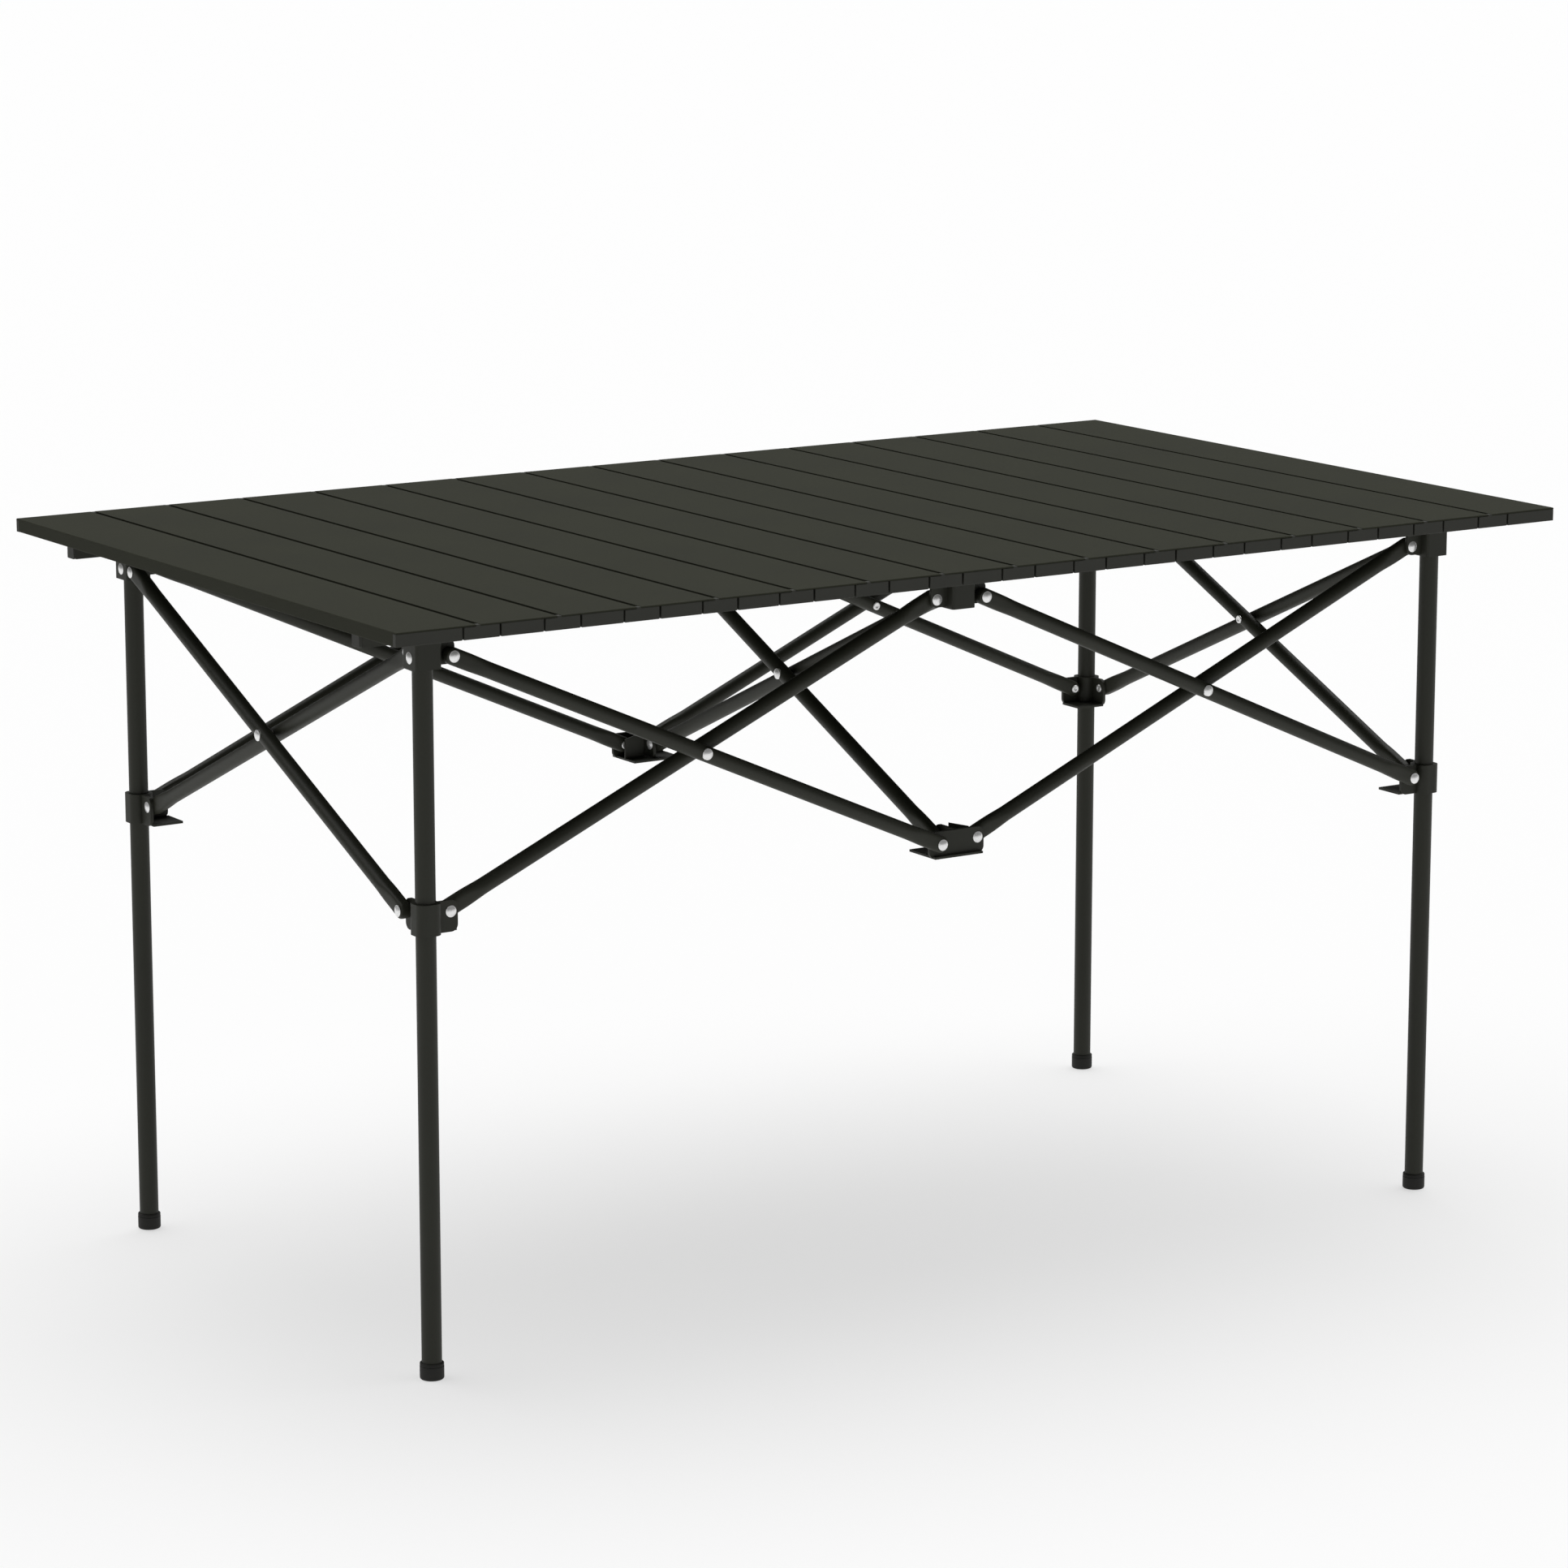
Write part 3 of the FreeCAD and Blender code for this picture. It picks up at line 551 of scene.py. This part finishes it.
def bar_ends(node):
    """A bar's two pivots, the axis of its pivots, and its solids."""
    parts = sorted(loose_parts(node), key=volume_box, reverse=True)
    low, high = corners(parts[0])
    along_x = (high.x - low.x) > (high.y - low.y)
    run = 0 if along_x else 1
    thin = 1 - run
    middle = (low[thin] + high[thin]) / 2
    slope = bar_slope(parts[0], run)
    start = Vector((0, 0, 0))
    stop = Vector((0, 0, 0))
    start[run] = low[run] + TUBE_RADIUS
    stop[run] = high[run] - TUBE_RADIUS
    start[thin] = stop[thin] = middle
    upper = high.z - TUBE_RADIUS
    lower = low.z + TUBE_RADIUS
    start.z, stop.z = (upper, lower) if slope < 0 else (lower, upper)
    return start, stop, (Y if along_x else X), parts


def bar_slope(work, run):
    """Above zero where a bar climbs along its run, and below zero where it falls."""
    centre = sum(v.co[run] for v in work.verts) / len(work.verts)
    level = sum(v.co.z for v in work.verts) / len(work.verts)
    return sum((v.co[run] - centre) * (v.co.z - level) for v in work.verts)


def section(distance, length):
    """A bar's half width, half thickness and squareness at a distance from its first pivot."""
    near = min(distance, length - distance)
    blend = (near - PRESS_START) / (PRESS_STOP - PRESS_START)
    blend = max(0.0, min(1.0, blend))
    blend = blend * blend * (3 - 2 * blend)
    width = END_HALF_WIDTH + (TUBE_RADIUS - END_HALF_WIDTH) * blend
    thickness = END_HALF_THICKNESS + (TUBE_RADIUS - END_HALF_THICKNESS) * blend
    squareness = ROUND + SQUARER * (1 - blend)
    return width, thickness, squareness


def squared(value, squareness):
    """A sine or cosine bent towards a square section."""
    return math.copysign(abs(value) ** (2 / squareness), value)


def build_bar(node, body):
    """A scissor bar: a round tube whose ends are pressed flatter, wider and rounded."""
    start, stop, hinge, parts = bar_ends(node)
    run = stop - start
    length = run.length
    run.normalize()
    across = hinge.cross(run)
    work = bmesh.new()
    rings = []
    for distance, (narrower, thinner) in bar_stations(length):
        width, thickness, squareness = section(distance, length)
        ring = []
        for step in range(TUBE_SEGMENTS):
            angle = 2 * math.pi * step / TUBE_SEGMENTS
            u = squared(math.cos(angle), squareness) * width * narrower
            w = squared(math.sin(angle), squareness) * thickness * thinner
            ring.append(work.verts.new(start + run * distance + across * u + hinge * w))
        rings.append(ring)
    join_rings(work, rings, TUBE_SEGMENTS)
    work.faces.new(list(reversed(rings[0])))
    work.faces.new(rings[-1])
    piece = add_piece(node + "_tube", mesh_from(node, work), "tube", body)
    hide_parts(node)
    for number, part in enumerate(parts[1:], 1):
        rivet = build_rivet("%s_rivet_%d" % (node, number), part, body)
        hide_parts(node)
    for part in parts:
        part.free()


def bar_stations(length):
    """Distances along a bar for its rings, each with the shares of width and thickness there."""
    tip = []
    for step in range(END_STEPS):
        angle = math.pi / 2 * (1 - (step + END_FIRST) / END_STEPS)
        thinner = 1 - END_EDGE * max(0.0, 1 - step / 2)
        tip.append((-END_REACH * math.sin(angle), (math.cos(angle), thinner)))
    middle = [0.0, PRESS_START]
    for step in range(1, PRESS_STEPS + 1):
        middle.append(PRESS_START + (PRESS_STOP - PRESS_START) * step / PRESS_STEPS)
    full = [(distance, (1, 1)) for distance in middle]
    full += [(length - distance, (1, 1)) for distance in reversed(middle)]
    other_tip = [(length - distance, shares) for distance, shares in reversed(tip)]
    return tip + full + other_tip


def is_top_edge(middle, direction):
    """Whether an edge runs across the table in the top's surface."""
    return abs(direction.y) > ALONG and abs(middle.z - DECK_TOP) < TOUCH


def rail_edge_test(node):
    """A test for the long outer edges of a rail tube and of the plug in its end."""
    hand = node.split("_")[-1]
    row = node.split("_")[-2]
    low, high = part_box("rail_plug_%s_%s" % (row, hand))

    def chosen(middle, direction):
        on_side = min(abs(middle.y - low.y), abs(middle.y - high.y)) < TOUCH
        on_level = min(abs(middle.z - low.z), abs(middle.z - high.z)) < TOUCH
        return abs(direction.x) > ALONG and on_side and on_level

    return chosen


def add_lip(work):
    """Add the lip on a left end cap that closes its seam to the next slat, behind the cap's face."""
    low, high = corners(work)
    top = max(vertex.co.z for vertex in work.verts if vertex.co.x < low.x + TOUCH)
    if low.y > 0:
        near, far = low.y, high.y - LIP_SETBACK
    else:
        near, far = low.y + LIP_SETBACK, high.y
    first = Vector((low.x - LIP_REACH, near, low.z + LIP_ROOT))
    last = Vector((low.x + LIP_ROOT, far, top - LIP_ROOT))
    place = Matrix.Translation((first + last) / 2) @ Matrix.Diagonal((*(last - first), 1))
    bmesh.ops.create_cube(work, size=1, matrix=place)


def build_slat(node, body):
    """A slat's extrusion and its end caps, with softened edges."""
    parts = sorted(loose_parts(node), key=volume_box, reverse=True)
    left_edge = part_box(node)[0].x
    for number, part in enumerate(parts):
        merge_flat(part)
        if number == 0:
            piece = add_piece(node + "_extrusion", mesh_from(node, part), "slat", body)
            bevel(piece, FINE_BEVEL, GROOVE_BEVEL, is_top_edge)
        else:
            name = "%s_cap_%d" % (node, number)
            if node != "slat_01" and corners(part)[0].x < left_edge + TOUCH:
                add_lip(part)
            piece = add_piece(name, mesh_from(name, part), "cap", body)
            bevel(piece, CAP_BEVEL)
        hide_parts(node)


def body_of_node():
    """Which body each node is in."""
    table = {}
    for body, nodes in frame["record"]["behaviour"]["bodies"].items():
        for node in nodes:
            table[node] = body
    return table


def build_table():
    """Build every piece of the table."""
    for node, body in sorted(body_of_node().items()):
        if node.startswith("leg_"):
            build_leg(node, body)
        elif node.startswith("foot_"):
            build_foot(node, body)
        elif node.startswith("bar_"):
            build_bar(node, body)
        elif node.startswith("slat_"):
            build_slat(node, body)
        elif node.startswith("rail_plug_"):
            carry_over(node, body, "cap", CAP_BEVEL, RAIL_BEVEL, rail_edge_test(node))
        elif node.startswith("rail_"):
            carry_over(node, body, "tube", CAP_BEVEL, RAIL_BEVEL, rail_edge_test(node))
        else:
            carry_over(node, body, "bracket", BRACKET_BEVEL)


# ---- stage ----

FLOOR_HALF = 60


def build_floor():
    """A plain pale floor with soft shadows, which can be seen through from below."""
    work = bmesh.new()
    bmesh.ops.create_grid(work, x_segments=1, y_segments=1, size=FLOOR_HALF)
    mesh = bpy.data.meshes.new("floor")
    work.to_mesh(mesh)
    work.free()
    floor = bpy.data.objects.new("floor", mesh)
    bpy.context.scene.collection.objects.link(floor)
    material, tree, principled = shader("floor_paper")
    set_inputs(principled, Base_Color=(0.35, 0.35, 0.35, 1), Roughness=0.9,
               Emission_Color=(1, 1, 1, 1), Emission_Strength=0.58)
    sides = tree.nodes.new("ShaderNodeNewGeometry")
    clear = tree.nodes.new("ShaderNodeBsdfTransparent")
    mix = tree.nodes.new("ShaderNodeMixShader")
    tree.links.new(sides.outputs["Backfacing"], mix.inputs["Fac"])
    tree.links.new(principled.outputs["BSDF"], mix.inputs[1])
    tree.links.new(clear.outputs["BSDF"], mix.inputs[2])
    tree.links.new(mix.outputs["Shader"], tree.nodes["Material Output"].inputs["Surface"])
    mesh.materials.append(material)


def sun(name, azimuth, elevation, strength, width):
    """A soft sun from a compass direction (0 from -Y, 90 from -X) and a height, both in degrees."""
    data = bpy.data.lights.new(name, "SUN")
    data.energy = strength
    data.angle = math.radians(width)
    light = bpy.data.objects.new(name, data)
    turn = math.radians(azimuth)
    rise = math.radians(elevation)
    source = Vector((-math.sin(turn) * math.cos(rise), -math.cos(turn) * math.cos(rise), math.sin(rise)))
    light.rotation_euler = source.to_track_quat("Z", "Y").to_euler()
    bpy.context.scene.collection.objects.link(light)


def build_lights():
    """Two wide soft lights from above, and surroundings that are dimmer than the backdrop looks."""
    sun("key", 250, 66, 2.0, 70)
    sun("back", 150, 62, 1.4, 70)
    world = bpy.data.worlds.new("studio")
    world.use_nodes = True
    tree = world.node_tree
    background = tree.nodes["Background"]
    background.inputs["Color"].default_value = (1, 1, 1, 1)
    rays = tree.nodes.new("ShaderNodeLightPath")
    strength = spread(tree, rays.outputs["Is Camera Ray"], 0.12, 1.0)
    tree.links.new(strength, background.inputs["Strength"])
    bpy.context.scene.world = world
    bpy.context.scene.view_settings.view_transform = "Standard"


def build_camera():
    """A long lens, a little above the table top, turned towards its left front leg."""
    place = Vector((-3.0244, -4.6457, 1.6160))
    heading = math.radians(33.0)
    dip = math.radians(11.7)
    data = bpy.data.cameras.new("camera")
    data.sensor_width = 36
    data.lens = 122.0
    camera = bpy.data.objects.new("camera", data)
    view = Vector((math.sin(heading) * math.cos(dip), math.cos(heading) * math.cos(dip), -math.sin(dip)))
    camera.location = place
    camera.rotation_euler = view.to_track_quat("-Z", "Y").to_euler()
    bpy.context.scene.collection.objects.link(camera)
    bpy.context.scene.camera = camera


build_table()
build_floor()
build_lights()
build_camera()
